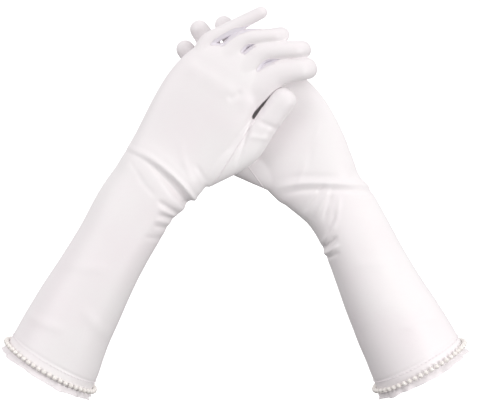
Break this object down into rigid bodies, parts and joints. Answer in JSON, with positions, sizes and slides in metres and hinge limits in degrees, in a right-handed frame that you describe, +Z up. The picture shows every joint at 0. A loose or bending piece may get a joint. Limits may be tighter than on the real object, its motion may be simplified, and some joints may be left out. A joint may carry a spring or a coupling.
{
  "type": "opera gloves",
  "caption": "Pair of long white stretch-satin gloves on clasped hands, with a pearl string and a wavy frill at each cuff.",
  "frame": {"origin": "middle of the left glove's cuff mouth, where the wearer's forearm goes in", "axes": "+X from the left cuff towards the right cuff, +Y through the hands from the front glove to the rear one, +Z up"},
  "size_m": [0.4132, 0.1064, 0.3491],
  "materials": {
    "satin": "white stretch satin with a soft sheen",
    "fourchette": "white stretch satin side strips",
    "hem": "white satin, wrong side, matt",
    "frill": "white lettuce-edged satin",
    "pearl": "pearlescent white"
  },
  "bodies": {
    "left_sleeve": {"left_sleeve_back": "satin", "left_sleeve_palm": "satin", "left_hem": "hem", "left_pearls": "pearl", "left_frill": "frill", "left_wrist": "satin"},
    "left_hand": {"left_hand_back": "satin", "left_hand_palm": "satin", "left_index": "satin", "left_index_fourchette_little_side": "fourchette", "left_index_knuckle": "satin", "left_middle": "satin", "left_middle_fourchette_thumb_side": "fourchette", "left_middle_fourchette_little_side": "fourchette", "left_middle_knuckle": "satin", "left_ring": "satin", "left_ring_fourchette_thumb_side": "fourchette", "left_ring_fourchette_little_side": "fourchette", "left_ring_knuckle": "satin"},
    "left_index_end": {"left_index_end": "satin"},
    "left_middle_end": {"left_middle_end": "satin"},
    "left_ring_end": {"left_ring_end": "satin"},
    "left_little": {"left_little": "satin", "left_little_fourchette_thumb_side": "fourchette"},
    "left_thumb": {"left_thumb": "satin"},
    "right_hand": {"right_hand_back": "satin", "right_hand_palm": "satin", "right_wrist": "satin", "right_ring": "satin", "right_ring_fourchette_thumb_side": "fourchette", "right_ring_fourchette_little_side": "fourchette", "right_little": "satin", "right_little_fourchette_thumb_side": "fourchette"},
    "right_sleeve": {"right_sleeve_back": "satin", "right_sleeve_palm": "satin", "right_hem": "hem", "right_pearls": "pearl", "right_frill": "frill"},
    "right_index": {"right_index": "satin", "right_index_fourchette_little_side": "fourchette"},
    "right_middle": {"right_middle": "satin", "right_middle_fourchette_thumb_side": "fourchette", "right_middle_fourchette_little_side": "fourchette"},
    "right_thumb": {"right_thumb": "satin"}
  },
  "joints": [
    {"name": "left_wrist_bend", "type": "hinge", "parent": "left_sleeve", "child": "left_hand", "pos_m": [0.095, 0, 0.16454], "axis": [0.866, 0, -0.5], "range_deg": [-30, 30], "deforming": ["left_wrist"]},
    {"name": "left_index_open", "type": "hinge", "parent": "left_hand", "child": "left_index_end", "pos_m": [0.22727, 0.003, 0.26209], "axis": [0.2113, 0, -0.9774], "range_deg": [0, 60], "deforming": ["left_index_knuckle"]},
    {"name": "left_middle_open", "type": "hinge", "parent": "left_hand", "child": "left_middle_end", "pos_m": [0.22232, 0.003, 0.27824], "axis": [0.0872, 0, -0.9962], "range_deg": [0, 80], "deforming": ["left_middle_knuckle"]},
    {"name": "left_ring_open", "type": "hinge", "parent": "left_hand", "child": "left_ring_end", "pos_m": [0.20396, 0.003, 0.29153], "axis": [0.1633, 0, -0.9866], "range_deg": [0, 80], "deforming": ["left_ring_knuckle"]},
    {"name": "left_little_lift", "type": "hinge", "parent": "left_hand", "child": "left_little", "pos_m": [0.13133, -0.0045, 0.27182], "axis": [0.8434, 0, -0.5373], "range_deg": [0, 25]},
    {"name": "left_thumb_lift", "type": "hinge", "parent": "left_hand", "child": "left_thumb", "pos_m": [0.1635, -0.00995, 0.19204], "axis": [-0.5373, 0, -0.8434], "range_deg": [0, 25]},
    {"name": "right_glove_draw", "type": "slide", "parent": "left_hand", "child": "right_hand", "axis": [0.5878, 0, -0.809], "range_m": [0, 0.23]},
    {"name": "right_wrist_bend", "type": "hinge", "parent": "right_hand", "child": "right_sleeve", "pos_m": [0.23799, 0.0246, 0.16297], "axis": [0.8805, 0, 0.4741], "range_deg": [-30, 30], "deforming": ["right_wrist"]},
    {"name": "right_index_curl", "type": "hinge", "parent": "right_hand", "child": "right_index", "pos_m": [0.15149, 0.0291, 0.23609], "axis": [-0.809, 0, -0.5878], "range_deg": [0, 50]},
    {"name": "right_middle_curl", "type": "hinge", "parent": "right_hand", "child": "right_middle", "pos_m": [0.16605, 0.0291, 0.24667], "axis": [-0.809, 0, -0.5878], "range_deg": [0, 50]},
    {"name": "right_thumb_spread", "type": "hinge", "parent": "right_hand", "child": "right_thumb", "pos_m": [0.16793, 0.03455, 0.18624], "axis": [0.5878, 0, -0.809], "range_deg": [0, 35]}
  ]
}
